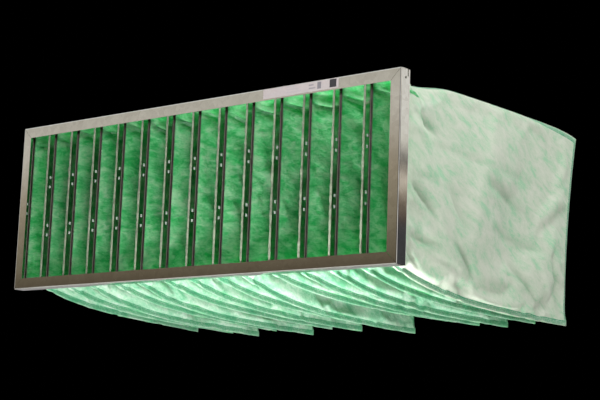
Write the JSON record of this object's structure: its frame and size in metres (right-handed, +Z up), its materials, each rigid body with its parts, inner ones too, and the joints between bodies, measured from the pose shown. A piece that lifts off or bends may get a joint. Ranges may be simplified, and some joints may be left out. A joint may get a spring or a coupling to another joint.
{
  "type": "bag air filter",
  "caption": "Bag air filter: flat sheet steel header with a row of deep, tapering green filter pockets behind it, open at the front.",
  "frame": {"origin": "middle of the header's underside, halfway through its depth, where the header stands in its holding frame", "axes": "+Z up, +Y the way the air flows, from the header towards the pockets' ends, +X to the right as seen from the front"},
  "size_m": [0.9366, 0.5946, 0.3871],
  "materials": {
    "galvanised_header": "galvanised sheet, satin",
    "galvanised_strip": "galvanised strip, satin",
    "filter_medium": "thick non-woven fibre, green inside and paler outside",
    "label_paper": "plain matt paper label"
  },
  "bodies": {
    "root": {"top_rail": "galvanised_header", "bottom_rail": "galvanised_header", "left_stile": "galvanised_header", "right_stile": "galvanised_header", "pocket_frame_01": "galvanised_strip", "pocket_frame_02": "galvanised_strip", "pocket_frame_03": "galvanised_strip", "pocket_frame_04": "galvanised_strip", "pocket_frame_05": "galvanised_strip", "pocket_frame_06": "galvanised_strip", "pocket_frame_07": "galvanised_strip", "pocket_frame_08": "galvanised_strip", "pocket_frame_09": "galvanised_strip", "pocket_frame_10": "galvanised_strip", "pocket_frame_11": "galvanised_strip", "pocket_frame_12": "galvanised_strip", "pocket_frame_13": "galvanised_strip", "pocket_frame_14": "galvanised_strip", "pocket_01": "filter_medium", "pocket_02": "filter_medium", "pocket_03": "filter_medium", "pocket_04": "filter_medium", "pocket_05": "filter_medium", "pocket_06": "filter_medium", "pocket_07": "filter_medium", "pocket_08": "filter_medium", "pocket_09": "filter_medium", "pocket_10": "filter_medium", "pocket_11": "filter_medium", "pocket_12": "filter_medium", "pocket_13": "filter_medium", "pocket_14": "filter_medium", "label": "label_paper"}
  },
  "joints": []
}
